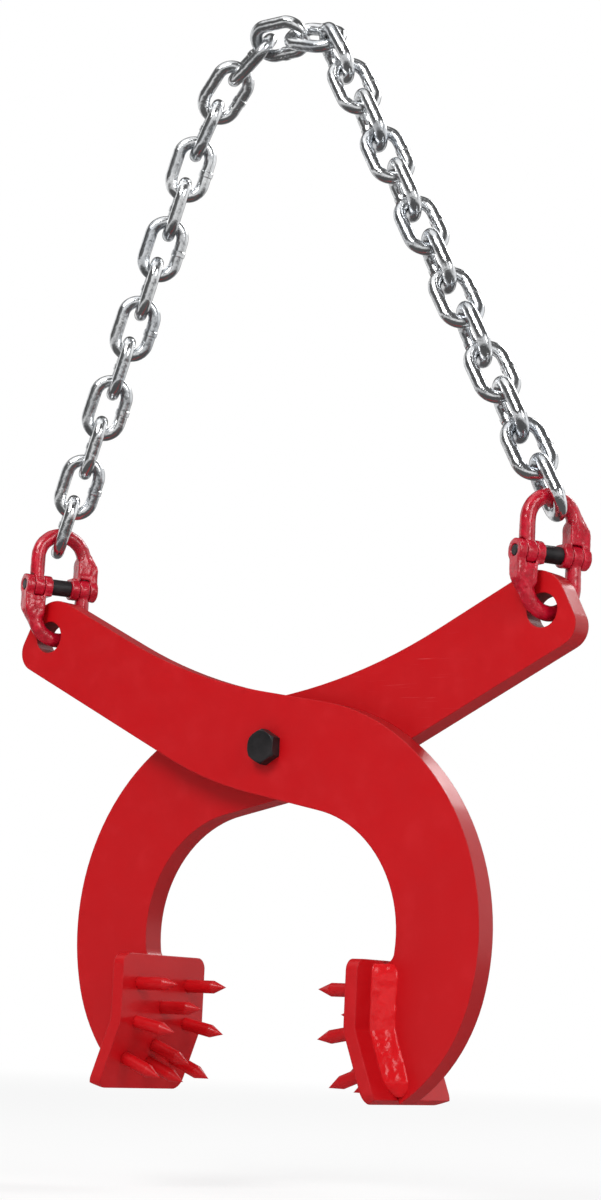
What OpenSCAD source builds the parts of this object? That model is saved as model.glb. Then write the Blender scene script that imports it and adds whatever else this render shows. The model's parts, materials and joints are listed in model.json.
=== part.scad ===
// Brick tongs: two hooked arms on one pivot, spiked jaws and a loop of lifting chain.
// The origin is the hook point under the top link, with +Z up and the pivot along Y.

/* [Arm plates] */
// Thickness of each arm plate
plate_thickness = 15; // [12:0.5:18]
// Running gap between the two plates at the pivot
plate_gap = 0.3; // [0.2:0.05:1]
// Slope of the straight arm below the horizontal, in degrees
arm_slope = 26.7; // [24:0.1:30]
// Width of the straight arm
arm_width = 50.7; // [44:0.1:56]
// Height of the arm's top edge over the pivot, square to the arm
arm_top = 12.1; // [8:0.1:16]
// Distance along the arm from the pivot to its end
arm_reach = 215; // [205:1:240]
// Distance from the arm's end to the centre of the chain hole
hole_inset = 17.7; // [17:0.1:26]
// Diameter of the chain hole
hole_diameter = 20.5; // [20.5:0.5:23]
// Radius of the upper corner at the arm's end
end_radius_top = 20; // [5:1:24]
// Radius of the lower corner at the arm's end
end_radius_bottom = 13; // [5:1:24]
// Radius of the elbow along the top edge
elbow_radius_top = 379; // [200:1:420]
// Radius of the elbow along the bottom edge
elbow_radius_bottom = 268; // [150:1:320]
// Slope of the neck's top edge, in degrees
neck_slope_top = 9.8; // [6:0.1:13]
// Slope of the neck's bottom edge, in degrees
neck_slope_bottom = 12.2; // [9:0.1:15]

/* [Hooks] */
// Outer radius of the hook
hook_outer_radius = 139.5; // [132:0.5:146]
// Centre of the outer arc from the pivot, across and up
hook_outer_centre = [17.1, -110.7]; // [-130:0.1:40]
// Inner radius of the hook
hook_inner_radius = 74.7; // [70:0.1:80]
// Centre of the inner arc from the pivot, across and up
hook_inner_centre = [25.1, -111.8]; // [-130:0.1:40]
// Radius of the tail beside the jaw
tail_radius = 104; // [98:0.5:125]
// Angle below the horizontal at which the tail leaves the outer arc
tail_start = 15; // [10:0.5:22]
// Radius of the corner between the hook's inside and the jaw
throat_radius = 7; // [3:0.5:10]
// Drop from the jaw's top to the corner above it
throat_drop = 2; // [1:0.5:6]

/* [Jaws] */
// Thickness of the jaw plate
jaw_thickness = 8; // [6:0.5:10]
// Width of the jaw plate
jaw_width = 80; // [70:1:100]
// Distance from the pivot across to the back of the jaw
jaw_back = 90.9; // [86:0.1:94]
// Depth of the jaw's top edge below the pivot
jaw_top = 126.4; // [122:0.1:132]
// Height of the upright part of the jaw, down to its bend
jaw_upper = 40; // [34:0.5:44]
// Length of the leaning part of the jaw, below its bend
jaw_lower = 41; // [34:0.5:43]
// Lean of the lower part, in degrees
jaw_lean = 21; // [14:0.5:26]
// Radius of the bend on the back of the jaw
jaw_bend_radius = 6; // [3:0.5:10]
// Radius of the jaw plate's corners
jaw_corner_radius = 7; // [2:0.5:12]
// Radius of the weld runs between hook and jaw
weld_radius = 6; // [3:0.5:8]
// Length left bare at the foot of each weld run
weld_stop = 16; // [10:1:24]

/* [Spikes] */
// Diameter of the spikes
spike_diameter = 8; // [5:0.5:10]
// Length of a spike beyond the jaw
spike_length = 30.4; // [22:0.2:34]
// Length of the conical point
spike_point = 10; // [5:0.5:16]
// Distance between the columns of spikes
spike_pitch = 24; // [16:0.5:28]
// Depth of the upper spike in the outer columns below the jaw's top
outer_upper_depth = 18; // [8:0.5:24]
// Distance of the lower spike in the outer columns below the bend
outer_lower_depth = 21; // [14:0.5:30]
// Depth of the upper spike in the middle column below the jaw's top
middle_upper_depth = 32; // [20:0.5:34]
// Distances of the lower spikes in the middle column below the bend
middle_lower_depths = [12, 23.5]; // [6:0.5:32]

/* [Pivot] */
// Diameter of the pivot bolt
bolt_diameter = 12; // [10:1:16]
// Radial clearance of the pivot bores
bolt_clearance = 0.08; // [0.02:0.01:0.1]
// Width across the flats of the bolt's head and nut
hex_flats = 19; // [18:0.5:26]
// Height of the bolt's head
head_height = 7.5; // [6:0.5:10]
// Outer diameter of the washer
washer_diameter = 24; // [22:0.5:32]
// Thickness of the washer
washer_thickness = 2.5; // [1.5:0.25:4]
// Height of the nut's hexagon
nut_height = 8; // [6:0.5:12]
// Height of the nut's locking collar
collar_height = 4; // [2:0.5:6]
// Length of bolt beyond the nut
bolt_end = 3; // [1:0.5:8]

/* [Coupling links] */
// Inside length of a coupling link
coupling_length = 60; // [58:0.5:66]
// Inside width of a coupling link at its bows
coupling_width = 23; // [21:0.5:27]
// Diameter of the bow's bar
bow_diameter = 9.4; // [8:0.1:9.6]
// Turn of the coupling links about the vertical, in degrees
coupling_turn = 26; // [20:1:26]
// Radius of the lugs round the load pin
lug_radius = 7; // [6.5:0.1:9]
// Diameter of the load pin
pin_diameter = 7; // [6:0.1:9]
// Diameter of the retaining sleeve
sleeve_diameter = 10.5; // [9.5:0.5:13]
// Length of the retaining sleeve
sleeve_length = 13; // [12.5:0.5:18]
// Width of each fork lug
lug_width = 5.4; // [4.5:0.1:7]
// Width of the eye between the fork lugs
eye_width = 6.6; // [6:0.1:8]
// Depth of the fork's leg below its lugs
fork_depth = 10; // [9.5:0.1:11]
// Length of the fork's leg below the pin, down to its taper
fork_length = 14; // [12:0.5:15]
// Turn of the bow at which the fork's taper ends, in degrees
fork_reach = 12; // [5:1:15]
// Depth of the fork's slot below the pin's axis
slot_depth = 10; // [9:0.5:12]
// Gap between neighbouring faces along the pin
coupling_gap = 0.3; // [0.2:0.05:0.5]
// Radial clearance of the load pin
pin_clearance = 0.08; // [0.02:0.01:0.1]

/* [Chain] */
// Diameter of the chain's wire
wire = 8; // [7:0.1:8.2]
// Inside length of a link
link_length = 28; // [27:0.1:30]
// Inside width of a link
link_width = 13; // [12.8:0.1:14]
// Links in the left leg
left_links = 14; // [13:1:15]
// Links in the right leg
right_links = 13; // [12:1:14]
// Play between two links in line
link_play = 0.4; // [0.2:0.05:0.6]
// Play between the lowest links and the bows of the coupling links
bow_play = 2.6; // [2:0.1:3]
// Fall of the top link towards the right, in degrees
top_fall = 16; // [12:0.5:18]
// Falls of the draped links on the left, from the top link down, in degrees
left_falls = [0, 38, 51, 62]; // [0:1:70]
// Falls of the draped links on the right, from the top link down, in degrees
right_falls = [58]; // [50:1:60]
// Roll of the links to either side of the chain's plane, in degrees
link_roll = 45; // [44:0.5:46]
// Diameter of the weld ring on each link
link_weld_diameter = 9; // [8.5:0.1:9.4]
// Length of the weld ring on each link
link_weld_length = 3; // [2:0.5:6]

/* [Hidden] */
$fa = 4;
$fs = 0.4;
overcut = 1;
lap = 0.02;
bend_lap = 2;
far = 400;
red = [0.78, 0.07, 0.11];
crimson = [0.66, 0.04, 0.1];
black = [0.12, 0.12, 0.13];
zinc = [0.74, 0.75, 0.77];

// Arcs lap a hair over the straight edges that they run into.
// Straight lines are named by their slope and their height over the pivot, square to the line.
function square_to(slope) = [sin(slope), cos(slope)];
function down_along(slope) = [cos(slope), -sin(slope)];
function from_centre(centre, radius, angle) = centre + radius * [cos(angle), sin(angle)];
function meeting(slope_a, height_a, slope_b, height_b) = [
    height_a * cos(slope_b) - height_b * cos(slope_a),
    height_b * sin(slope_a) - height_a * sin(slope_b)
] / sin(slope_a - slope_b);

arm_bottom = arm_top - arm_width;
function arm_end(height) = height * square_to(arm_slope) - arm_reach * down_along(arm_slope);
neck_top = hook_outer_centre * square_to(neck_slope_top) + hook_outer_radius - lap;
neck_bottom = hook_inner_centre * square_to(neck_slope_bottom) + hook_inner_radius - lap;
elbow_top = meeting(arm_slope, arm_top, neck_slope_top, neck_top);
elbow_bottom = meeting(arm_slope, arm_bottom, neck_slope_bottom, neck_bottom);
crown_top = from_centre(hook_outer_centre, hook_outer_radius - lap, 90 - neck_slope_top);
crown_bottom = from_centre(hook_inner_centre, hook_inner_radius - lap, 90 - neck_slope_bottom);
arm_middle = arm_top - arm_width / 2;
hole_along = arm_reach - hole_inset;
hole_at = arm_middle * square_to(arm_slope) - hole_along * down_along(arm_slope);
tail_centre = from_centre(hook_outer_centre, hook_outer_radius - tail_radius + lap, -tail_start);
throat_at = -jaw_top - throat_drop;

// The bend's axis lies behind the jaw, where its upright and leaning parts share an arc.
jaw_bend_at = [
    jaw_back + jaw_bend_radius,
    -jaw_top - jaw_upper + jaw_bend_radius * tan(jaw_lean / 2)
];
jaw_front_radius = jaw_bend_radius + jaw_thickness;
jaw_bottom = jaw_bend_at[1] - jaw_front_radius * sin(jaw_lean) - jaw_lower * cos(jaw_lean);

front_face = plate_gap / 2 + plate_thickness;
plate_middle = (plate_gap + plate_thickness) / 2;
bore_diameter = bolt_diameter + 2 * bolt_clearance;
washer_at = front_face + plate_gap / 2;
nut_at = washer_at + washer_thickness;

// Stations along the load pin, from the middle of the sleeve outwards.
lug_in = sleeve_length / 2 + coupling_gap;
eye_in = lug_in + lug_width + coupling_gap;
eye_out = eye_in + eye_width;
lug_out = eye_out + coupling_gap + lug_width;
bow_radius = (coupling_width + bow_diameter) / 2;
bow_reach = (coupling_length + bow_diameter) / 2;
bow_at = bow_reach - bow_radius;
plate_across = (plate_thickness + fork_depth * sin(coupling_turn)) / cos(coupling_turn);

// A bow rests on the edges of the chain hole, which it crosses at an angle.
half_crossing = plate_thickness / 2 / cos(coupling_turn);
bow_rise = bow_radius - sqrt(pow(bow_radius, 2) - pow(half_crossing, 2));
bow_lean = asin(half_crossing / bow_radius);
hole_room = hole_diameter / 2 - bow_diameter / 2 / cos(bow_lean) - 3 * coupling_gap;
bow_seat = sqrt(max(0, pow(hole_room, 2) - pow(half_crossing * sin(coupling_turn), 2))) - bow_rise;

// Draped links hang from the top link by their falls, and each leg runs straight to its coupling link.
crown_radius = (link_width + wire) / 2;
link_straight = link_length - link_width;
bend_ride = 0.012 * wire;
top_centre = [0, (crown_radius * sin(link_roll) + wire / 2) / cos(top_fall)];
function outward(side, fall) = [side * cos(fall), -sin(fall)];
pitch = link_length - link_play;
function falls_on(side) = side < 0 ? left_falls : right_falls;
function links_on(side) = side < 0 ? left_links : right_links;
function top_fall_on(side) = side * top_fall;
function bend_at(side, k) = falls_on(side)[k] - (k == 0 ? top_fall_on(side) : falls_on(side)[k - 1]);
function joint_at(side, k) =
    k == 0 ? top_centre + pitch / 2 * outward(side, top_fall_on(side))
    : joint_at(side, k - 1) + pitch * outward(side, falls_on(side)[k - 1]);
function leg_links(side) = links_on(side) - len(falls_on(side));
function leg_top(side) = joint_at(side, len(falls_on(side)));
function leg_length(side) = leg_links(side) * pitch - (bow_diameter + link_play) / 2 - bow_play;

// Both coupling links hang at one height, as far apart as the chain holes.
hole_span = -2 * hole_at[0];
leg_offset = leg_top(1) - [hole_span, 0] - leg_top(-1);
leg_share = (pow(leg_length(-1), 2) - pow(leg_length(1), 2) + leg_offset * leg_offset)
    / (2 * norm(leg_offset));
leg_drop = sqrt(pow(leg_length(-1), 2) - pow(leg_share, 2));
left_bow_at = leg_top(-1)
    + (leg_share * leg_offset - leg_drop * [leg_offset[1], -leg_offset[0]]) / norm(leg_offset);
function bow_top(side) = side < 0 ? left_bow_at : left_bow_at + [hole_span, 0];
function leg_fall(side) =
    atan2(leg_top(side)[1] - bow_top(side)[1], side * (bow_top(side)[0] - leg_top(side)[0]));
pivot = left_bow_at - [hole_at[0], 2 * bow_reach + bow_seat + hole_at[1]];

// Links count from the coupling link up on the left and from the top link down on the right.
function rank_from_top(side, i) = side < 0 ? left_links - i : i - 1;
function is_draped(side, i) = rank_from_top(side, i) < len(falls_on(side));
function fall_of(side, i) = is_draped(side, i) ? falls_on(side)[rank_from_top(side, i)] : leg_fall(side);
function link_centre(side, i) =
    is_draped(side, i)
    ? joint_at(side, rank_from_top(side, i)) + pitch / 2 * outward(side, fall_of(side, i))
    : leg_top(side)
        + (rank_from_top(side, i) - len(falls_on(side)) + 0.5) * pitch * outward(side, leg_fall(side));

// Bent neighbours ride up on each other's sides, forwards and back by turns, and a leg evens this out.
function drape_depth(side, k) =
    (k == 0 ? 0 : drape_depth(side, k - 1)) - (k % 2 == 0 ? 1 : -1) * bend_ride * abs(bend_at(side, k));
function leg_depth(side, share) =
    (1 - share) * drape_depth(side, len(falls_on(side)) - 1) + share * side * plate_middle;
function link_depth(side, i) =
    is_draped(side, i) ? drape_depth(side, rank_from_top(side, i))
    : leg_depth(side, (rank_from_top(side, i) + 1 - len(falls_on(side))) / leg_links(side));

// Places the pivot's frame, and turns it half round for the rear arm.
module at_pivot(turned) {
    translate([pivot[0], 0, pivot[1]])
        rotate([0, 0, turned ? 180 : 0])
            children();
}

// Stands a flat outline up in the XZ plane and thickens it towards -Y.
module upright(thickness) {
    rotate([90, 0, 0])
        linear_extrude(thickness)
            children();
}

// The wedge between a corner of two lines and the arc that rounds it off. It reaches a little past the corner.
module corner_wedge(corner, slope_a, slope_b, radius) {
    run = radius * tan((slope_a - slope_b) / 2);
    start = corner - run * down_along(slope_a);
    beyond = overcut * square_to((slope_a + slope_b) / 2);
    difference() {
        polygon([start, corner - beyond, corner + run * down_along(slope_b)]);
        translate(start + radius * square_to(slope_a))
            circle(radius, $fa = 1);
    }
}

// What a round corner of the arm's end takes away, with the corner at the origin.
module end_cut(radius) {
    difference() {
        translate([-overcut, -overcut])
            square(radius + overcut);
        translate([radius, radius])
            circle(radius);
    }
}

// All that lies in front of the jaw's back face, with the bend's arc at its corner.
module jaw_side() {
    bend = [jaw_back, -jaw_top - jaw_upper];
    polygon([
        [jaw_back, -jaw_top],
        bend,
        bend + far * [sin(jaw_lean), -cos(jaw_lean)],
        [0, -far],
        [0, -jaw_top],
    ]);
    difference() {
        polygon([
            [jaw_back, jaw_bend_at[1]],
            from_centre(jaw_bend_at, jaw_bend_radius, 180 + jaw_lean),
            bend - [jaw_thickness, 0],
        ]);
        translate(jaw_bend_at)
            circle(jaw_bend_radius);
    }
}

// The hollow of the hook above the jaw, with its lowest corner rounded.
module hook_hollow() {
    corner_height = throat_at + throat_radius;
    corner_across = sqrt(
        pow(hook_inner_radius - throat_radius, 2) - pow(corner_height - hook_inner_centre[1], 2)
    );
    corner = [hook_inner_centre[0] + corner_across, corner_height];
    reach = (corner - hook_inner_centre) / (hook_inner_radius - throat_radius);
    difference() {
        intersection() {
            translate(hook_inner_centre)
                circle(hook_inner_radius, $fa = 2);
            translate([-far, throat_at])
                square(2 * far);
        }
        difference() {
            polygon([
                corner,
                [corner[0], throat_at - overcut],
                [corner[0] + hook_inner_radius, throat_at - overcut],
                hook_inner_centre + reach * (hook_inner_radius + throat_radius),
            ]);
            translate(corner)
                circle(throat_radius);
        }
    }
}

// The straight arm and neck, with sharp corners, seen from the front about the pivot.
module arm_body() {
    polygon([arm_end(arm_top), elbow_top, crown_top, crown_bottom, elbow_bottom, arm_end(arm_bottom)]);
}

// The round of the hook, down to the start of the tail.
module hook_round() {
    intersection() {
        translate(hook_outer_centre)
            circle(hook_outer_radius, $fa = 2);
        polygon([
            hook_outer_centre,
            crown_bottom,
            crown_top + jaw_thickness * [-1, 1],
            [far, crown_top[1] + jaw_thickness],
            from_centre(hook_outer_centre, far, -tail_start),
        ]);
    }
}

// The tail of the hook, beside the jaw.
module hook_tail() {
    intersection() {
        translate(tail_centre)
            circle(tail_radius, $fa = 2);
        polygon([
            [jaw_back - jaw_thickness, hook_inner_centre[1]],
            from_centre(hook_outer_centre, far, -tail_start / 2),
            [far, -far],
            [jaw_back - jaw_thickness, -far],
        ]);
    }
}

// All that is cut from the arm's areas: corners, holes, the hollow and the seat of the jaw.
module arm_cuts() {
    corner_wedge(elbow_bottom, arm_slope, neck_slope_bottom, elbow_radius_bottom);
    hook_hollow();
    jaw_side();
    translate(arm_end(arm_top))
        rotate(-arm_slope)
            mirror([0, 1])
                end_cut(end_radius_top);
    translate(arm_end(arm_bottom))
        rotate(-arm_slope)
            end_cut(end_radius_bottom);
    translate(hole_at)
        circle(d = hole_diameter);
    circle(d = bore_diameter);
}

module arm_plate() {
    translate([0, -plate_gap / 2, 0])
        difference() {
            union() {
                upright(plate_thickness)
                    arm_body();
                upright(plate_thickness)
                    corner_wedge(elbow_top, arm_slope, neck_slope_top, elbow_radius_top);
                upright(plate_thickness)
                    hook_round();
                upright(plate_thickness)
                    hook_tail();
            }
            translate([0, overcut, 0])
                upright(plate_thickness + 2 * overcut)
                    arm_cuts();
        }
}

// A rectangle with round corners, over a given width, between two heights.
module rounded_panel(width, low, high, radius) {
    translate([-width / 2, low + radius])
        square([width, high - low - 2 * radius]);
    translate([-width / 2 + radius, low])
        square([width - 2 * radius, high - low]);
    for (x = [-1, 1], z = [low + radius, high - radius])
        translate([x * (width / 2 - radius), z])
            circle(radius);
}

// A straight part of the jaw that stands on the bend's axis.
module jaw_panel(run) {
    translate([-jaw_front_radius, -jaw_width / 2, 0])
        cube([jaw_thickness, jaw_width, run]);
}

// The round between the two panels, which runs a little way into each of them.
module jaw_bend() {
    rotate([90, 0, 0])
        rotate(180 - bend_lap)
            rotate_extrude(angle = jaw_lean + 2 * bend_lap)
                translate([jaw_bend_radius + lap, lap - jaw_width / 2])
                    square([jaw_thickness - 2 * lap, jaw_width - 2 * lap]);
}

module jaw_plate() {
    intersection() {
        translate([jaw_bend_at[0], 0, jaw_bend_at[1]]) {
            jaw_panel(-jaw_top - jaw_bend_at[1]);
            jaw_bend();
            rotate([0, -jaw_lean, 0])
                translate([0, 0, -jaw_lower])
                    jaw_panel(jaw_lower);
        }
        rotate([90, 0, 90])
            linear_extrude(far)
                rounded_panel(jaw_width, jaw_bottom, -jaw_top, jaw_corner_radius);
    }
}

// Puts a spike's root at a depth below the jaw's top, on its upright part.
module on_upper_jaw(depth) {
    translate([jaw_back - jaw_thickness, 0, -jaw_top - depth])
        children();
}

// Puts a spike's root on the leaning part, or part of the way round the bend.
module on_lower_jaw(depth, lean) {
    translate([jaw_bend_at[0], 0, jaw_bend_at[1]])
        rotate([0, -lean, 0])
            translate([-jaw_front_radius, 0, -depth])
                children();
}

// A spike that points towards -X, with its root at the origin or a length behind it.
module spike(root = 0) {
    rotate([0, -90, 0]) {
        translate([0, 0, -root])
            cylinder(d = spike_diameter, h = spike_length - spike_point + root);
        translate([0, 0, spike_length - spike_point])
            cylinder(d1 = spike_diameter, d2 = 0, h = spike_point);
    }
}

// A spike on the bend itself, with its root shaped to the round face.
module bend_spike() {
    difference() {
        on_lower_jaw(0, jaw_lean / 2)
            spike(jaw_thickness / 2);
        translate([jaw_bend_at[0], spike_diameter, jaw_bend_at[1]])
            rotate([90, 0, 0])
                cylinder(r = jaw_front_radius, h = 2 * spike_diameter);
    }
}

module spike_set() {
    for (side = [-1, 1])
        translate([0, side * spike_pitch, 0]) {
            on_upper_jaw(outer_upper_depth)
                spike();
            bend_spike();
            on_lower_jaw(outer_lower_depth, jaw_lean)
                spike();
        }
    on_upper_jaw(middle_upper_depth)
        spike();
    for (depth = middle_lower_depths)
        on_lower_jaw(depth, jaw_lean)
            spike();
}

// A run of weld along +Z in the corner between two faces that meet on the Z axis.
module weld_run(length) {
    linear_extrude(length)
        intersection() {
            circle(weld_radius);
            square(weld_radius);
        }
}

// Runs of weld in the corners between the hook's two faces and the back of the jaw.
module weld_runs() {
    mitre = weld_radius * tan(jaw_lean / 2);
    for (face = [0, 1])
        translate([0, face ? -plate_gap / 2 : -front_face, 0])
            mirror([0, 1 - face, 0]) {
                translate([jaw_back, 0, jaw_bend_at[1] + mitre])
                    weld_run(throat_at - jaw_bend_at[1] - mitre);
                translate([jaw_bend_at[0], 0, jaw_bend_at[1]])
                    rotate([0, -jaw_lean, 0])
                        translate([-jaw_bend_radius, 0, weld_stop - jaw_lower])
                            weld_run(jaw_lower - weld_stop - mitre);
            }
}

// A hexagon with its upper corners eased, standing on the XY plane with a corner towards +Y.
module hexagon(height) {
    corners = hex_flats / cos(30);
    intersection() {
        rotate(30)
            cylinder(d = corners, h = height, $fn = 6);
        union() {
            cylinder(d = corners + overcut, h = height - (corners - hex_flats) / 2);
            translate([0, 0, height - (corners - hex_flats) / 2])
                cylinder(d1 = corners, d2 = hex_flats, h = (corners - hex_flats) / 2);
        }
    }
}

module bolt_solid() {
    tip = nut_at + nut_height + collar_height + bolt_end;
    ease = bolt_diameter / 8;
    translate([0, -front_face, 0])
        rotate([90, 0, 0])
            hexagon(head_height);
    translate([0, -front_face, 0])
        rotate([-90, 0, 0]) {
            cylinder(d = bolt_diameter, h = front_face + tip - ease);
            translate([0, 0, front_face + tip - ease])
                cylinder(d1 = bolt_diameter, d2 = bolt_diameter - 2 * ease, h = ease);
        }
}

module washer_solid() {
    translate([0, washer_at, 0])
        rotate([-90, 0, 0])
            difference() {
                cylinder(d = washer_diameter, h = washer_thickness);
                translate([0, 0, -overcut])
                    cylinder(d = bore_diameter, h = washer_thickness + 2 * overcut);
            }
}

module nut_solid() {
    translate([0, nut_at, 0])
        rotate([-90, 0, 0])
            difference() {
                union() {
                    hexagon(nut_height);
                    cylinder(d = hex_flats - 2, h = nut_height + collar_height);
                }
                translate([0, 0, -overcut])
                    cylinder(d = bore_diameter, h = nut_height + collar_height + 2 * overcut);
            }
}

// A round bar along X between two stations.
module across(from, to, radius) {
    translate([from, 0, 0])
        rotate([0, 90, 0])
            cylinder(r = radius, h = to - from);
}

// The leg with the fork, as wide as both lugs down to its taper, which ends on the bow.
module fork_leg() {
    across(-lug_out, -lug_in, lug_radius);
    hull() {
        translate([-lug_out, -fork_depth / 2, -fork_length])
            cube([lug_out - lug_in, fork_depth, fork_length]);
        translate([0, 0, -bow_at])
            rotate([0, -fork_reach, 0])
                translate([-bow_radius, 0, 0])
                    cylinder(d = bow_diameter - 2 * lap, h = coupling_gap, $fn = 32);
    }
}

// The leg with the eye, straight up from the bow.
module eye_leg() {
    across(eye_in, eye_out, lug_radius);
    translate([bow_radius, 0, -bow_at - lap])
        cylinder(d = bow_diameter - lap, h = bow_at);
}

// Half a coupling link: a bow below, a fork towards -X and an eye towards +X, on a pin along X.
module coupling_half() {
    relief = lug_radius + 2 * coupling_gap;
    plate_room = plate_across + 2 * coupling_gap;
    difference() {
        union() {
            translate([0, 0, -bow_at])
                rotate([-90, 0, 0])
                    rotate_extrude(angle = 180)
                        translate([bow_radius, 0])
                            circle(d = bow_diameter);
            fork_leg();
            eye_leg();
        }
        translate([-eye_out - coupling_gap, -relief, -slot_depth])
            cube([eye_width + 2 * coupling_gap, 2 * relief, slot_depth + relief]);
        translate([lap - plate_room / 2, -relief, -bow_at])
            cube([plate_room - 2 * lap, 2 * relief, bow_at - lug_radius]);
        translate([0, relief, -bow_at])
            rotate([90, 0, 0])
                cylinder(d = plate_room, h = 2 * relief);
        across(0, eye_in - coupling_gap / 2, relief);
        across(eye_out + coupling_gap / 2, lug_out + overcut, relief);
        across(-lug_out - overcut, lug_out + overcut, pin_diameter / 2 + pin_clearance);
    }
}

// Places a coupling link's frame at its load pin.
module at_coupling(side) {
    translate([bow_top(side)[0], side * plate_middle, bow_top(side)[1] - bow_reach])
        rotate([0, 0, 90 - coupling_turn])
            children();
}

module lower_half(side) {
    color(crimson)
        at_coupling(side)
            coupling_half();
}

module upper_half(side) {
    color(crimson)
        at_coupling(side)
            rotate([0, 180, 0])
                coupling_half();
}

module load_pin(side) {
    ease = pin_diameter / 10;
    color(black)
        at_coupling(side) {
            across(-lug_out + ease, lug_out - ease, pin_diameter / 2);
            for (turn = [0, 180])
                rotate([0, 90 + turn, 0])
                    translate([0, 0, lug_out - ease])
                        cylinder(d1 = pin_diameter, d2 = pin_diameter - 2 * ease, h = ease);
        }
}

module retaining_sleeve(side) {
    color(black)
        at_coupling(side)
            difference() {
                across(-sleeve_length / 2, sleeve_length / 2, sleeve_diameter / 2);
                across(-sleeve_length, sleeve_length, pin_diameter / 2 + pin_clearance);
            }
}

// A short link along X in the XY plane, with the weld ring on one straight side.
module chain_link() {
    ease = (link_weld_diameter - wire) / 2;
    for (turn = [0, 180])
        rotate([0, 0, turn]) {
            translate([link_straight / 2, 0, 0])
                rotate([0, 0, -90])
                    rotate_extrude(angle = 180)
                        translate([crown_radius, 0])
                            circle(d = wire);
            translate([0, crown_radius, 0])
                across(-link_straight / 2, link_straight / 2, wire / 2);
        }
    translate([0, crown_radius, 0]) {
        across(-link_weld_length / 2, link_weld_length / 2, link_weld_diameter / 2);
        for (turn = [0, 180])
            rotate([0, 90 + turn, 0])
                translate([0, 0, link_weld_length / 2])
                    cylinder(d1 = link_weld_diameter, d2 = wire, h = ease);
    }
}

// A link at a place in the XZ plane, rising to the right by its slope and rolled about its length.
module placed_link(centre, depth, slope, roll) {
    color(zinc)
        translate([centre[0], depth, centre[1]])
            rotate([0, -slope, 0])
                rotate([roll, 0, 0])
                    chain_link();
}

module leg_link(side, i) {
    rolls_forward = rank_from_top(side, i) % 2 == 0;
    placed_link(
        link_centre(side, i),
        link_depth(side, i),
        -side * fall_of(side, i),
        rolls_forward ? -link_roll : link_roll
    );
}

module top_link() {
    placed_link(top_centre, 0, -top_fall, link_roll);
}

module front_arm() {
    color(red)
        at_pivot(false)
            arm_plate();
}

module rear_arm() {
    color(red)
        at_pivot(true)
            arm_plate();
}

module front_jaw() {
    color(red)
        at_pivot(false)
            jaw_plate();
}

module rear_jaw() {
    color(red)
        at_pivot(true)
            jaw_plate();
}

module front_spikes() {
    color(red)
        at_pivot(false)
            spike_set();
}

module rear_spikes() {
    color(red)
        at_pivot(true)
            spike_set();
}

module front_weld() {
    color(red)
        at_pivot(false)
            weld_runs();
}

module rear_weld() {
    color(red)
        at_pivot(true)
            weld_runs();
}

module pivot_bolt() {
    color(black)
        at_pivot(false)
            bolt_solid();
}

module pivot_washer() {
    color(black)
        at_pivot(false)
            washer_solid();
}

module pivot_nut() {
    color(black)
        at_pivot(false)
            nut_solid();
}

front_arm();
rear_arm();
front_jaw();
rear_jaw();
front_spikes();
rear_spikes();
front_weld();
rear_weld();
pivot_bolt();
pivot_washer();
pivot_nut();
lower_half(-1);  // left_lower_half
upper_half(-1);  // left_upper_half
load_pin(-1);  // left_load_pin
retaining_sleeve(-1);  // left_retaining_sleeve
lower_half(1);  // right_lower_half
upper_half(1);  // right_upper_half
load_pin(1);  // right_load_pin
retaining_sleeve(1);  // right_retaining_sleeve
for (i = [1:left_links])
    leg_link(-1, i);
top_link();
for (i = [1:right_links])
    leg_link(1, i);
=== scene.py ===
import json
import math
import random

import bpy
from mathutils import Matrix, Vector

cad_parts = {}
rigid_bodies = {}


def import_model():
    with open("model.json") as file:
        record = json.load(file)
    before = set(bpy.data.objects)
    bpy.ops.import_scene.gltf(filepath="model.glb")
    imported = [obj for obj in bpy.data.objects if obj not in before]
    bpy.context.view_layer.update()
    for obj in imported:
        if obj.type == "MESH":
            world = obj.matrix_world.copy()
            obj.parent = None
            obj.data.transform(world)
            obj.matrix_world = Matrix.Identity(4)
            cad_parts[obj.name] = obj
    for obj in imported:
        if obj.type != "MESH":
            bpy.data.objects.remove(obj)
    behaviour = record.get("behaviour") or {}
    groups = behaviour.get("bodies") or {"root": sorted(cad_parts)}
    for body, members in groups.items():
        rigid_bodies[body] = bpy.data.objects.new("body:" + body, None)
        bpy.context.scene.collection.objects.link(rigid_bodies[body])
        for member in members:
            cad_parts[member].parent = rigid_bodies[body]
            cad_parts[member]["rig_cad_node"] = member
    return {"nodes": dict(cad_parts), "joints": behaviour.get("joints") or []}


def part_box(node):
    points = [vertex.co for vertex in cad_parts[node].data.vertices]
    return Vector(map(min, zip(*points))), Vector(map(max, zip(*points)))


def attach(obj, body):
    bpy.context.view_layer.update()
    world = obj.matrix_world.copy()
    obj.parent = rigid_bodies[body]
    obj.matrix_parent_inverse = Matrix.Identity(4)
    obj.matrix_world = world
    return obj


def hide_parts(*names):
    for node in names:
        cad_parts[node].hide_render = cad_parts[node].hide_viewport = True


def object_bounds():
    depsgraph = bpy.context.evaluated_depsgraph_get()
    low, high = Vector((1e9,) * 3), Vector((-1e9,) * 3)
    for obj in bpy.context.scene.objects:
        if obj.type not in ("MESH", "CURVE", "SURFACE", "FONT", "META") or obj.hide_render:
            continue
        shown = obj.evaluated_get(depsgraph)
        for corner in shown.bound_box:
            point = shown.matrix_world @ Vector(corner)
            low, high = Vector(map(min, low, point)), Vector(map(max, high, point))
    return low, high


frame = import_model()
cadBox = [list(corner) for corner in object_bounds()]
scene = bpy.context.scene
boltLow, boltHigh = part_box("pivot_bolt")
pivot = Vector(((boltLow[0] + boltHigh[0]) / 2, 0, (boltLow[2] + boltHigh[2]) / 2))
holeJoints = ("front_arm_swing", "right_coupling_swing")
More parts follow.
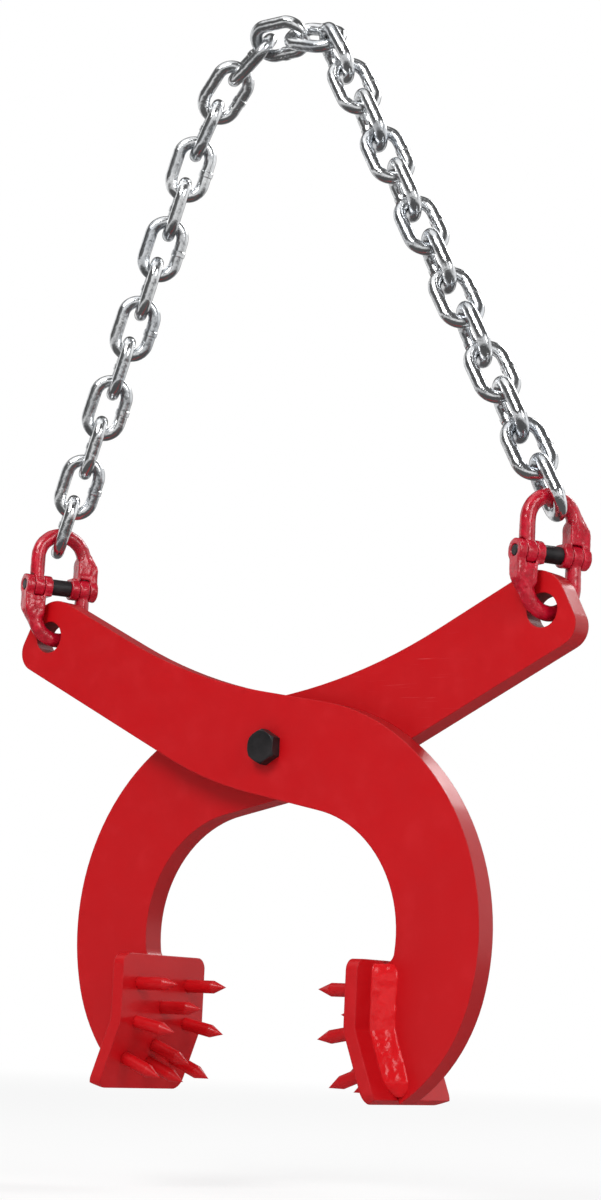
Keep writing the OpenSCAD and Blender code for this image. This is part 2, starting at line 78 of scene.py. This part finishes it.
chainHoles = [joint["pos_m"] for joint in frame["joints"] if joint["name"] in holeJoints]
print("frame loaded:", len(frame["nodes"]), "nodes, pivot at", tuple(round(v, 4) for v in pivot))


class Wire:
    # a socket in a shader tree, so that maths reads as plain sums
    def __init__(self, tree, socket):
        self.tree = tree
        self.socket = socket

    def maths(self, operation, first, second):
        node = self.tree.nodes.new("ShaderNodeMath")
        node.operation = operation
        for slot, value in zip(node.inputs, (first, second)):
            plug(self.tree, slot, value)
        return Wire(self.tree, node.outputs[0])

    def __add__(self, other):
        return self.maths("ADD", self, other)

    def __radd__(self, other):
        return self.maths("ADD", other, self)

    def __sub__(self, other):
        return self.maths("SUBTRACT", self, other)

    def __rsub__(self, other):
        return self.maths("SUBTRACT", other, self)

    def __mul__(self, other):
        return self.maths("MULTIPLY", self, other)

    def __rmul__(self, other):
        return self.maths("MULTIPLY", other, self)

    def __or__(self, other):
        return self.maths("MAXIMUM", self, other)

    def __ror__(self, other):
        return self.maths("MAXIMUM", other, self)


def plug(tree, slot, value):
    if isinstance(value, Wire):
        tree.links.new(value.socket, slot)
    else:
        slot.default_value = value


class Finish:
    # one node tree, filled by add()
    def __init__(self, tree):
        self.tree = tree
        tree.nodes.clear()

    def add(self, kind, settings=None, out=0, **sockets):
        # a socket is named, or numbered as in i0
        node = self.tree.nodes.new("ShaderNode" + kind)
        for key, value in (settings or {}).items():
            if key == "stops":
                ramp = node.color_ramp.elements
                while len(ramp) < len(value):
                    ramp.new(0.5)
                for stop, (place, tone) in zip(ramp, value):
                    stop.position = place
                    stop.color = (tone, tone, tone, 1)
            else:
                setattr(node, key, value)
        for key, value in sockets.items():
            numbered = key[0] == "i" and key[1:].isdigit()
            slot = node.inputs[int(key[1:]) if numbered else key.replace("_", " ")]
            plug(self.tree, slot, value)
        return Wire(self.tree, node.outputs[out]) if len(node.outputs) else None

    def place(self):
        return self.add("TexCoord", out="Object")

    def normal(self):
        return self.add("NewGeometry", out="Normal")

    def noise(self, at, scale, detail=2.0):
        return self.add("TexNoise", Vector=at, Scale=scale, Detail=detail)

    def ramp(self, value, *stops):
        return self.add("ValToRGB", {"stops": stops}, Fac=value)

    def blend(self, share, first, second):
        return self.add("Mix", {"data_type": "RGBA"}, out=2, i0=share, i6=first, i7=second)

    def rise(self, value, start, end):
        return self.add("MapRange", Value=value, From_Min=start, From_Max=end)

    def ease(self, value, start, end):
        smooth = {"interpolation_type": "SMOOTHSTEP"}
        return self.add("MapRange", smooth, Value=value, From_Min=start, From_Max=end)

    def times(self, first, second):
        return self.add("VectorMath", {"operation": "MULTIPLY"}, i0=first, i1=second)

    def dot(self, first, second):
        return self.add("VectorMath", {"operation": "DOT_PRODUCT"}, out="Value", i0=first, i1=second)

    def apart(self, first, second):
        return self.add("VectorMath", {"operation": "DISTANCE"}, out="Value", i0=first, i1=second)

    def glow(self, kind, strength):
        return self.add(kind, Color=(1, 1, 1, 1), Strength=strength)

    def mixed(self, share, first, second):
        return self.add("MixShader", i0=share, i1=first, i2=second)

    def ray(self, kind):
        return self.add("LightPath", out=kind)


def newFinish(name):
    material = bpy.data.materials.new(name)
    material.use_nodes = True
    return material, Finish(material.node_tree)


def close(finish, **sockets):
    shader = finish.add("BsdfPrincipled", **sockets)
    finish.add("OutputMaterial", Surface=shader)


# Camera, at the angle of the photograph

view = {
    "fromPivot": (0.9800, -1.3113, -0.1684),
    "right": (0.80714, 0.58873, 0.04479),
    "up": (0.05747, -0.15384, 0.98648),
    "forward": (-0.5876, 0.7936, 0.1580),
    "focal": 2685 / 1200,      # of the picture's height
    "sensor": 24,
}


def placeCamera():
    data = bpy.data.cameras.new("camera")
    data.sensor_fit = "VERTICAL"
    data.sensor_height = view["sensor"]
    data.lens = view["focal"] * view["sensor"]
    camera = bpy.data.objects.new("camera", data)
    scene.collection.objects.link(camera)
    spot = pivot + Vector(view["fromPivot"])
    turn = Matrix((view["right"], view["up"], [-v for v in view["forward"]])).transposed()
    camera.matrix_world = Matrix.Translation(spot) @ turn.to_4x4()
    scene.camera = camera


placeCamera()
scene.view_settings.view_transform = "Standard"
print("camera placed")


# Studio: pale floor, white surround, three soft lamps

studio = {
    "floorDrop": 0.06,
    "floorSize": 24.0,
    "floorTone": 0.86,
    "floorGlow": 0.72,         # near share of plain white, the rest takes the shadow
    "fadeFrom": 1.2,
    "fadeTo": 4.0,
    "lamps": [
        # name, place, size, watts
        ("keyLamp", (0.25, -2.3, 1.5), 1.4, 54),
        ("fillLamp", (2.4, -0.7, 0.5), 1.2, 18),
        ("backLamp", (0.3, 2.2, 1.6), 1.4, 36),
    ],
    "aim": (0.0, 0.0, -0.35),
    "surround": 0.42,
    "room": 0.09,              # what shiny faces see between the panels
    "panels": [
        # direction, cosine at the soft edge and at the full edge, strength
        ((0.62, 0.78, 0.05), 0.70, 0.90, 0.95),
        ((-0.20, -0.30, 0.93), 0.80, 0.94, 1.0),
        ((-0.97, 0.10, 0.20), 0.88, 0.95, 0.85),
        ((0.90, -0.42, 0.05), 0.91, 0.96, 0.5),
        ((0.50, -0.86, 0.0), 0.93, 0.985, 0.9),
    ],
    "nearShine": 0.10,         # what shiny faces see of the floor
    "farShine": 0.76,
    "shineFrom": 1.1,
    "shineTo": 2.5,
}


def makeFloor():
    level = cadBox[0][2] - studio["floorDrop"]
    bpy.ops.mesh.primitive_plane_add(size=studio["floorSize"], location=(0, 0, level))
    floor = bpy.context.object
    floor.name = "floor"
    material, f = newFinish("paleFloor")
    flat = f.times(f.place(), (1, 1, 0))
    reach = f.add("VectorMath", {"operation": "LENGTH"}, out="Value", i0=flat)
    fade = f.ease(reach, studio["fadeFrom"], studio["fadeTo"])
    seen = f.ray("Is Camera Ray") | f.ray("Is Transmission Ray")
    tone = studio["floorTone"]
    matt = f.add("BsdfDiffuse", Color=(tone, tone, tone, 1))
    share = studio["floorGlow"] + (1 - studio["floorGlow"]) * fade
    plain = f.mixed(seen * share, matt, f.glow("Emission", 1.0))
    shine = f.mixed(f.ease(reach, studio["shineFrom"], studio["shineTo"]),
                    f.glow("Emission", studio["nearShine"]), f.glow("Emission", studio["farShine"]))
    f.add("OutputMaterial", Surface=f.mixed(f.ray("Is Glossy Ray"), plain, shine))
    floor.data.materials.append(material)


def makeSurround():
    world = bpy.data.worlds.new("studio")
    world.use_nodes = True
    scene.world = world
    f = Finish(world.node_tree)
    # shiny faces see a dim room with a few soft white panels
    way = f.add("TexCoord", out="Generated")
    room = studio["room"]
    for direction, soft, full, strength in studio["panels"]:
        facing = f.dot(way, Vector(direction).normalized())
        room = room + strength * f.ease(facing, soft, full)
    plain = f.glow("Background", studio["surround"])
    lit = f.mixed(f.ray("Is Glossy Ray"), plain, f.glow("Background", room))
    seen = f.ray("Is Camera Ray") | f.ray("Is Transmission Ray")
    f.add("OutputWorld", Surface=f.mixed(seen, lit, f.glow("Background", 1.0)))


def makeLamps():
    for name, place, size, watts in studio["lamps"]:
        data = bpy.data.lights.new(name, "AREA")
        data.shape = "DISK"
        data.size = size
        data.energy = watts
        lamp = bpy.data.objects.new(name, data)
        scene.collection.objects.link(lamp)
        lamp.location = place
        aim = Vector(studio["aim"]) - Vector(place)
        lamp.rotation_euler = aim.to_track_quat("-Z", "Y").to_euler()


makeFloor()
makeSurround()
makeLamps()
print("studio ready")


# Finishes. Pattern scales are per metre, and other lengths are in metres.

edges = {
    "samples": 6,
    "flat": 0.995,             # cosine between the rounded and the true normal
    "sharp": 0.80,
}


def softEdge(f, radius):
    # the normal, rounded off along edges
    return f.add("Bevel", {"samples": edges["samples"]}, Radius=radius)


def edgeRim(f, soft):
    # rises where the rounded normal leaves the true one
    return f.rise(f.dot(soft, f.normal()), edges["flat"], edges["sharp"])


enamel = {
    "red": (0.50, 0.0028, 0.0060, 1),
    "deep": (0.42, 0.0022, 0.0052, 1),
    "pale": (0.58, 0.013, 0.018, 1),
    "scuff": (0.70, 0.13, 0.14, 1),
    "cut": (0.37, 0.0085, 0.0110, 1),       # on the plates' cut sides
    "holeShade": (0.10, 0.0030, 0.0040, 1),     # painted shade inside each chain hole
    "roughness": 0.33,
    # a lighter red than the plates' paint: painted light on the weld bead
    "beadLitRed": (0.66, 0.0078, 0.0115, 1),
    "beadRoughness": 0.14,
    "coat": 0.15,
    "coatRoughness": 0.12,
    "specular": 0.25,
    "edge": 0.0011,
    "cloud": 7.0,
    "mottle": 60.0,
    "peel": 700.0,
    "grit": 2300.0,
    "gritShare": 0.25,
    "bump": 0.10,
    "bumpDepth": 0.0004,
    "mottleRough": 0.10,       # added roughness
    "scuffRough": 0.15,
    "holeRough": 0.5,
    "cutShare": 0.85,
    "sideFrom": 0.25,          # squared cosine to the plate's axis
    "sideTo": 0.04,
    "holeReach": 0.0115,
    "holeEdge": 0.0095,
    "scuffAt": (0.09, 0.0, -0.40),
    "scuffReach": 0.05,
    "scuffCore": 0.01,
    "scuffTurn": 35.0,
    "scuffLines": (30, 30, 900),
}


def redEnamel(name, red, roughness, cutPlate=False):
    material, f = newFinish(name)
    at = f.place()
    soft = softEdge(f, enamel["edge"])
    rim = edgeRim(f, soft)
    cloud = f.noise(at, enamel["cloud"], 3.0)
    mottle = f.noise(at, enamel["mottle"], 4.0)
    peel = f.noise(at, enamel["peel"])
    grit = f.noise(at, enamel["grit"], 1.0)
    colour = f.blend(f.ramp(cloud, (0.30, 0.0), (0.75, 0.5)), red, enamel["deep"])
    colour = f.blend(f.ramp(mottle, (0.55, 0.0), (0.80, 0.35)), colour, enamel["pale"])
    coat = enamel["coat"]
    if cutPlate:
        # darker colour on the side walls of the plate, and painted shade inside each chain hole
        facing = f.add("SeparateXYZ", out="Y", Vector=f.normal())
        sides = f.rise(facing * facing, enamel["sideFrom"], enamel["sideTo"])
        colour = f.blend(enamel["cutShare"] * sides, colour, enamel["cut"])
        level = f.times(at, (1, 0, 1))
        holeShadeMask = 0.0
        for centre in chainHoles:
            holeShadeMask = f.rise(f.apart(level, centre), enamel["holeReach"], enamel["holeEdge"]) + holeShadeMask
        holeShadeMask = holeShadeMask * sides
        # painted shade inside each chain hole
        colour = f.blend(holeShadeMask, colour, enamel["holeShade"])
        roughness = roughness + enamel["holeRough"] * holeShadeMask
        coat = coat - coat * holeShadeMask
    # a painted highlight along the cut edges, broken up by the mottle
    colour = f.blend(rim * f.ramp(mottle, (0.35, 0.15), (0.65, 0.5)), colour, enamel["pale"])
    # faint rubbed lines on the arm behind
    near = f.rise(f.apart(at, enamel["scuffAt"]), enamel["scuffReach"], enamel["scuffCore"])
    turned = f.add("Mapping", Vector=at, Rotation=(0, math.radians(enamel["scuffTurn"]), 0),
                   Scale=enamel["scuffLines"])
    scuffs = near * f.ramp(f.noise(turned, 1.0), (0.64, 0.0), (0.74, 0.45))
    colour = f.blend(scuffs, colour, enamel["scuff"])
    rough = roughness + enamel["mottleRough"] * f.ramp(mottle, (0.3, 0.0), (0.7, 1.0))
    rough = rough + enamel["scuffRough"] * scuffs
    bump = f.add("Bump", Strength=enamel["bump"], Distance=enamel["bumpDepth"],
                 Height=peel + enamel["gritShare"] * grit, Normal=soft)
    close(f, Base_Color=colour, Roughness=rough, Normal=bump, Specular_IOR_Level=enamel["specular"],
          Coat_Weight=coat, Coat_Roughness=enamel["coatRoughness"])
    return material


cast = {
    "red": (0.50, 0.0045, 0.022, 1),
    "deep": (0.34, 0.0025, 0.012, 1),
    "pale": (0.60, 0.018, 0.040, 1),
    "roughness": 0.20,
    "coat": 0.4,
    "coatRoughness": 0.06,
    "edge": 0.0014,
    "lumps": 190.0,
    "pits": 520.0,
    "fine": 1500.0,
    "pitShare": 0.22,
    "fineShare": 0.03,
    "pitRough": 0.08,
    "bump": 0.38,
    "bumpDepth": 0.0016,
}


def castRed():
    material, f = newFinish("castRed")
    at = f.place()
    soft = softEdge(f, cast["edge"])
    lumps = f.noise(at, cast["lumps"])
    pits = f.noise(at, cast["pits"])
    fine = f.noise(at, cast["fine"], 1.0)
    # darker in the hollows between the lumps: painted shade
    colour = f.blend(f.ramp(lumps, (0.35, 0.9), (0.62, 0.0)), cast["red"], cast["deep"])
    colour = f.blend(f.ramp(pits, (0.62, 0.0), (0.80, 0.35)), colour, cast["pale"])
    rough = cast["roughness"] + cast["pitRough"] * f.ramp(pits, (0.3, 0.0), (0.7, 1.0))
    height = lumps + cast["pitShare"] * pits + cast["fineShare"] * fine
    bump = f.add("Bump", Strength=cast["bump"], Distance=cast["bumpDepth"], Height=height, Normal=soft)
    close(f, Base_Color=colour, Roughness=rough, Normal=bump,
          Coat_Weight=cast["coat"], Coat_Roughness=cast["coatRoughness"])
    return material


plating = {
    "bright": (0.84, 0.85, 0.86, 1),
    "dull": (0.46, 0.48, 0.50, 1),
    "blue": (0.62, 0.67, 0.74, 1),
    "roughness": 0.13,
    "patches": 55.0,
    "tint": 26.0,
    "dents": 210.0,
    "grain": 1700.0,
    "grainShare": 0.12,
    "patchRough": 0.16,
    "bump": 0.35,
    "bumpDepth": 0.0012,
}


def brightZinc():
    material, f = newFinish("brightZinc")
    at = f.place()
    patches = f.noise(at, plating["patches"], 3.0)
    tint = f.noise(at, plating["tint"], 1.0)
    dents = f.noise(at, plating["dents"], 3.0)
    grain = f.noise(at, plating["grain"])
    colour = f.blend(f.ramp(patches, (0.40, 0.0), (0.72, 0.8)), plating["bright"], plating["dull"])
    colour = f.blend(f.ramp(tint, (0.50, 0.0), (0.70, 0.35)), colour, plating["blue"])
    rough = plating["roughness"] + plating["patchRough"] * f.ramp(patches, (0.35, 0.0), (0.75, 1.0))
    bump = f.add("Bump", Strength=plating["bump"], Distance=plating["bumpDepth"],
                 Height=dents + plating["grainShare"] * grain)
    close(f, Base_Color=colour, Metallic=1.0, Roughness=rough, Normal=bump)
    return material


oxide = {
    "black": (0.009, 0.008, 0.009, 1),
    "worn": (0.040, 0.034, 0.036, 1),
    "roughness": 0.36,
    "specular": 0.35,
    "edge": 0.0006,
    "cloud": 90.0,
    "grain": 1900.0,
    "rimWear": 0.5,
    "cloudRough": 0.18,
    "bump": 0.15,
    "bumpDepth": 0.0003,
}


def blackOxide():
    material, f = newFinish("blackOxide")
    at = f.place()
    soft = softEdge(f, oxide["edge"])
    rim = edgeRim(f, soft)
    cloud = f.noise(at, oxide["cloud"], 3.0)
    grain = f.noise(at, oxide["grain"])
    wear = f.ramp(cloud, (0.40, 0.0), (0.75, 0.6)) | (oxide["rimWear"] * rim)
    colour = f.blend(wear, oxide["black"], oxide["worn"])
    rough = oxide["roughness"] + oxide["cloudRough"] * cloud
    bump = f.add("Bump", Strength=oxide["bump"], Distance=oxide["bumpDepth"], Height=grain, Normal=soft)
    close(f, Base_Color=colour, Roughness=rough, Normal=bump, Specular_IOR_Level=oxide["specular"])
    return material


finishes = {
    "plate_red": redEnamel("redEnamel", enamel["red"], enamel["roughness"]),
    "arm_red": redEnamel("armEnamel", enamel["red"], enamel["roughness"], cutPlate=True),
    "bead_red": redEnamel("beadEnamel", enamel["beadLitRed"], enamel["beadRoughness"]),
    "coupling_red": castRed(),
    "chain_zinc": brightZinc(),
    "black_oxide": blackOxide(),
}


def dressNodes():
    count = {}
    for name, node in frame["nodes"].items():
        kind = "arm_red" if name.endswith("_arm") else "plate_red"
        if "link" in name:
            kind = "chain_zinc"
        elif name.endswith("_half"):
            kind = "coupling_red"
        elif name.startswith("pivot") or name.endswith(("_pin", "_sleeve")):
            kind = "black_oxide"
        for slot in node.material_slots:
            slot.material = finishes[kind]
        count[kind] = count.get(kind, 0) + 1
    print("nodes dressed:", count)


dressNodes()


# Rough skins, for what is forged or welded

skin = {
    "fuseReach": 0.00001,
    "flowFactor": 0.5,
}


def selectOnly(*pieces):
    bpy.ops.object.select_all(action="DESELECT")
    for piece in pieces:
        piece.select_set(True)
        bpy.context.view_layer.objects.active = piece


def copyNode(name, node):
    selectOnly(frame["nodes"][node])
    bpy.ops.object.duplicate()
    piece = bpy.context.object
    piece.name = name
    del piece["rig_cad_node"]
    bpy.ops.object.mode_set(mode="EDIT")
    bpy.ops.mesh.select_all(action="SELECT")
    bpy.ops.mesh.remove_doubles(threshold=skin["fuseReach"])
    bpy.ops.object.mode_set(mode="OBJECT")
    return piece


def roughen(piece, look, grain, height):
    # fuses what was joined, lets it flow together and roughens its skin
    remesh = piece.modifiers.new("fuse", "REMESH")
    remesh.mode = "VOXEL"
    remesh.voxel_size = look["voxel"]
    bpy.ops.object.modifier_apply(modifier="fuse")
    smooth = piece.modifiers.new("flow", "SMOOTH")
    smooth.factor = skin["flowFactor"]
    smooth.iterations = look["flow"]
    bpy.ops.object.modifier_apply(modifier="flow")
    lumpy = piece.modifiers.new("grain", "DISPLACE")
    lumpy.texture = grain
    lumpy.texture_coords = "LOCAL"
    lumpy.strength = height
    bpy.ops.object.modifier_apply(modifier="grain")
    bpy.ops.object.shade_smooth()
    piece.data.materials.clear()


def cloudTexture(name, size):
    texture = bpy.data.textures.new(name, "CLOUDS")
    texture.noise_scale = size
    return texture


# Forged halves of the coupling links: rounded all over, with a web at the foot of the fork's slot

forging = {
    "turn": 26.0,              # degrees between pin and pivot
    "web": (0.0074, 0.0042, 0.0029),
    "webAt": (-0.0158, 0.0, -0.0087),
    "cheek": [
        # along the pin, up from it, half the depth
        (-0.0246, -0.0070, 0.0046), (-0.0246, -0.0160, 0.0046), (-0.0182, -0.0270, 0.0028),
        (-0.0156, -0.0292, 0.0018), (-0.0132, -0.0270, 0.0022), (-0.0117, -0.0180, 0.0040),
        (-0.0117, -0.0070, 0.0046),
    ],
    "voxel": 0.00045,
    "flow": 7,
    "grainSize": 0.004,
    "grainHeight": 0.0004,
}


def makeWeb(atPin):
    bpy.ops.object.select_all(action="DESELECT")
    bpy.ops.mesh.primitive_cube_add(size=1, location=atPin @ Vector(forging["webAt"]),
                                    rotation=atPin.to_euler(), scale=forging["web"])
    bpy.ops.object.transform_apply(location=True, rotation=True, scale=True)
    return bpy.context.object


def makeCheek(atPin):
    # the fork's leg runs out in a full taper on the bow
    bpy.ops.object.select_all(action="DESELECT")
    bpy.ops.mesh.primitive_cylinder_add(vertices=len(forging["cheek"]), depth=2)
    cheek = bpy.context.object
    for k, corner in enumerate(cheek.data.vertices):
        along, up, half = forging["cheek"][k // 2]
        corner.co = atPin @ Vector((along, math.copysign(half, corner.co.z), up))
    bpy.ops.object.mode_set(mode="EDIT")
    bpy.ops.mesh.select_all(action="SELECT")
    bpy.ops.mesh.normals_make_consistent(inside=False)
    bpy.ops.object.mode_set(mode="OBJECT")
    return cheek


def makeHalf(name, link, node, turned):
    low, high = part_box(link + "_load_pin")
    fromX = math.radians(90 - forging["turn"])
    atPin = Matrix.Translation((low + high) / 2) @ Matrix.Rotation(fromX, 4, "Z")
    if turned:
        atPin = atPin @ Matrix.Rotation(math.radians(180), 4, "Y")
    half = copyNode(name, node)
    web = makeWeb(atPin)
    cheek = makeCheek(atPin)
    selectOnly(web, cheek, half)
    bpy.ops.object.join()
    roughen(half, forging, castGrain, forging["grainHeight"])
    half.data.materials.append(finishes["coupling_red"])
    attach(half, link + "_coupling")
    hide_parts(node)
    print("half forged:", name, len(half.data.polygons), "faces")


castGrain = cloudTexture("castGrain", forging["grainSize"])
for link in ("left", "right"):
    makeHalf(link + "LowerHalf", link, link + "_lower_half", False)
    makeHalf(link + "UpperHalf", link, link + "_upper_half", True)


# Weld beads between hook and jaw

bead = {
    "back": 0.0909,            # the jaw's back face, out from the pivot
    "bendTop": -0.1664,        # up from the pivot
    "throat": -0.1284,
    "bendRadius": 0.006,
    "lean": 21.0,
    "lower": 0.041,
    "stop": 0.002,
    "plate": 0.015,
    "gap": 0.0003,
    "profile": [
        # out from the jaw, out from the plate
        (-0.0020, -0.0020), (0.0115, -0.0020), (0.0115, 0.0004), (0.0084, 0.0030),
        (0.0057, 0.0055), (0.0030, 0.0078), (0.0004, 0.0105), (-0.0020, 0.0105),
    ],
    "step": 0.0042,
    "swell": 0.022,
    "runIn": 0.8,
    "runOut": 0.38,            # share of the size won back at each step from the foot
    "voxel": 0.0007,
    "flow": 16,
    "lumpSize": 0.007,
    "lumpHeight": 0.0011,
    "seed": 7,
}


def seamPoints(side):
    # the corner line from the throat down the jaw's back, before it is put on a face of the plate
    lean = math.radians(bead["lean"])
    radius = bead["bendRadius"]
    axis = Vector((bead["back"] + radius, bead["bendTop"] + radius * math.tan(lean / 2)))
    low = axis - radius * Vector((math.cos(lean), math.sin(lean)))
    foot = low + (bead["lower"] - bead["stop"]) * Vector((math.sin(lean), -math.cos(lean)))
    corners = [Vector((bead["back"], bead["throat"])), Vector((bead["back"], axis.y)), low, foot]
    points = []
    for start, end in zip(corners, corners[1:]):
        count = max(1, round((end - start).length / bead["step"]))
        points += [start.lerp(end, k / count) for k in range(count)]
    points.append(corners[-1])
    return [(side * p.x, p.y) for p in points]


def makeRun(side, depth, lift, dice):
    # one run: the profile is swept down the seam, and swells and shrinks on its way
    stations = [pivot + Vector((x, depth, z)) for x, z in seamPoints(side)]
    bpy.ops.object.select_all(action="DESELECT")
    bpy.ops.mesh.primitive_circle_add(vertices=len(bead["profile"]), fill_type="NGON")
    run = bpy.context.object
    for corner, (out, off) in zip(run.data.vertices, bead["profile"]):
        corner.co = stations[0] + Vector((side * out, lift * off, 0))
    bpy.ops.object.mode_set(mode="EDIT")
    bpy.ops.mesh.select_all(action="SELECT")
    size = bead["runIn"]
    bpy.ops.transform.resize(value=(size, size, 1), center_override=stations[0])
    for k, (start, end) in enumerate(zip(stations, stations[1:]), 2):
        bpy.ops.mesh.extrude_region_move(TRANSFORM_OT_translate={"value": end - start})
        swell = 1 + bead["swell"] * dice.uniform(-1, 1)
        swell *= min(1, bead["runOut"] * (len(stations) - k + 1))
        bpy.ops.transform.resize(value=(swell / size, swell / size, 1), center_override=end)
        size = swell
    bpy.ops.mesh.select_all(action="SELECT")
    bpy.ops.mesh.normals_make_consistent(inside=False)
    bpy.ops.object.mode_set(mode="OBJECT")
    return run


def makeBead(name, side, body, node):
    dice = random.Random(bead["seed"] + side)
    near = -side * bead["gap"] / 2
    far = near - side * bead["plate"]
    farRun = makeRun(side, far, -side, dice)
    nearRun = makeRun(side, near, side, dice)
    selectOnly(nearRun, farRun)
    bpy.ops.object.join()
    weld = bpy.context.object
    weld.name = name
    roughen(weld, bead, weldLumps, bead["lumpHeight"])
    weld.data.materials.append(finishes["bead_red"])
    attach(weld, body)
    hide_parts(node)
    print("weld laid:", name, len(weld.data.polygons), "faces")


weldLumps = cloudTexture("weldLumps", bead["lumpSize"])
makeBead("frontBead", 1, "front_arm", "front_weld")
makeBead("rearBead", -1, "rear_arm", "rear_weld")


print("scene built")
